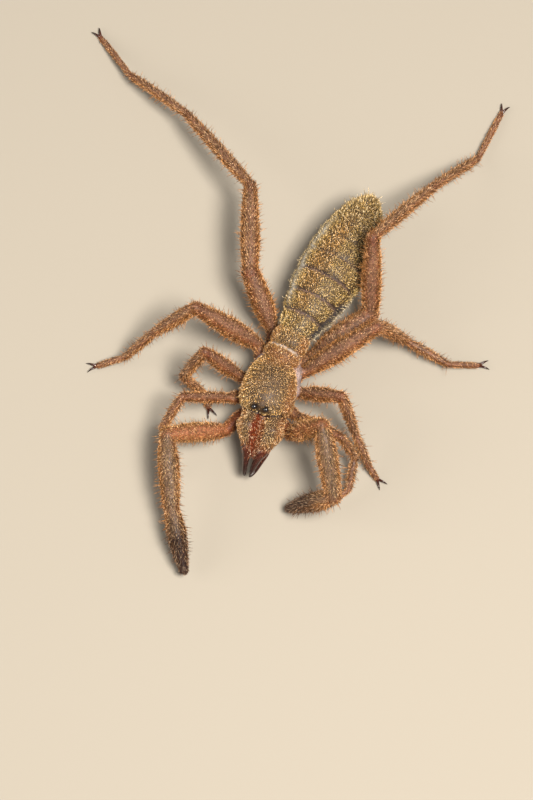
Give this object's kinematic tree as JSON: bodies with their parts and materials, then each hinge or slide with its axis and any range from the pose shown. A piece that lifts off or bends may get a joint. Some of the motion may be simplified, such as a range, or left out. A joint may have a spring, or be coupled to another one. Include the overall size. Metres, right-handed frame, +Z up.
{
  "type": "camel spider",
  "caption": "Life-size model of an adult camel spider standing with raised palps, a long ringed abdomen and hairy legs spread on a level floor.",
  "frame": {"origin": "the floor under the middle of the part's bounding box", "axes": "+Z up; the head looks along -Y and the animal's right side is at -X; the longest extent, from the raised palp to a hind foot, is along Y"},
  "size_m": [0.0388, 0.0456, 0.0097],
  "materials": {
    "body_coat": "dense short sandy-brown bristles on shield and abdomen",
    "leg_skin": "mauve-brown cuticle under orange-gold hair",
    "palp_tip": "dark brown cuticle with reddish bristles",
    "chelicera": "sandy bristles over glossy red-brown cuticle",
    "finger": "glossy dark red-brown horn",
    "eye": "glossy black"
  },
  "bodies": {
    "root": {"head_shield": "body_coat", "mesopeltidium": "body_coat", "metapeltidium": "body_coat", "abdomen_1": "body_coat", "abdomen_2": "body_coat", "abdomen_3": "body_coat", "abdomen_4": "body_coat", "abdomen_5": "body_coat", "abdomen_6": "body_coat", "abdomen_7": "body_coat", "abdomen_8": "body_coat", "abdomen_9": "body_coat", "eye_l": "eye", "chelicera_l": "chelicera", "finger_l": "finger", "coxae_l": "leg_skin", "palp_l_femur": "leg_skin", "palp_l_tibia": "leg_skin", "palp_l_metatarsus": "palp_tip", "leg1_l_femur": "leg_skin", "leg1_l_tibia": "leg_skin", "leg1_l_metatarsus": "leg_skin", "leg1_l_tarsus": "leg_skin", "leg2_l_femur": "leg_skin", "leg2_l_tibia": "leg_skin", "leg2_l_metatarsus": "leg_skin", "leg2_l_tarsus": "leg_skin", "leg3_l_femur": "leg_skin", "leg3_l_tibia": "leg_skin", "leg3_l_metatarsus": "leg_skin", "leg3_l_tarsus": "leg_skin", "leg4_l_femur": "leg_skin", "leg4_l_patella": "leg_skin", "leg4_l_tibia": "leg_skin", "leg4_l_metatarsus": "leg_skin", "leg4_l_tarsus": "leg_skin", "eye_r": "eye", "chelicera_r": "chelicera", "finger_r": "finger", "coxae_r": "leg_skin", "palp_r_femur": "leg_skin", "palp_r_tibia": "leg_skin", "palp_r_metatarsus": "palp_tip", "leg1_r_femur": "leg_skin", "leg1_r_tibia": "leg_skin", "leg1_r_metatarsus": "leg_skin", "leg1_r_tarsus": "leg_skin", "leg2_r_femur": "leg_skin", "leg2_r_tibia": "leg_skin", "leg2_r_metatarsus": "leg_skin", "leg2_r_tarsus": "leg_skin", "leg3_r_femur": "leg_skin", "leg3_r_tibia": "leg_skin", "leg3_r_metatarsus": "leg_skin", "leg3_r_tarsus": "leg_skin", "leg4_r_femur": "leg_skin", "leg4_r_patella": "leg_skin", "leg4_r_tibia": "leg_skin", "leg4_r_metatarsus": "leg_skin", "leg4_r_tarsus": "leg_skin"}
  },
  "joints": []
}
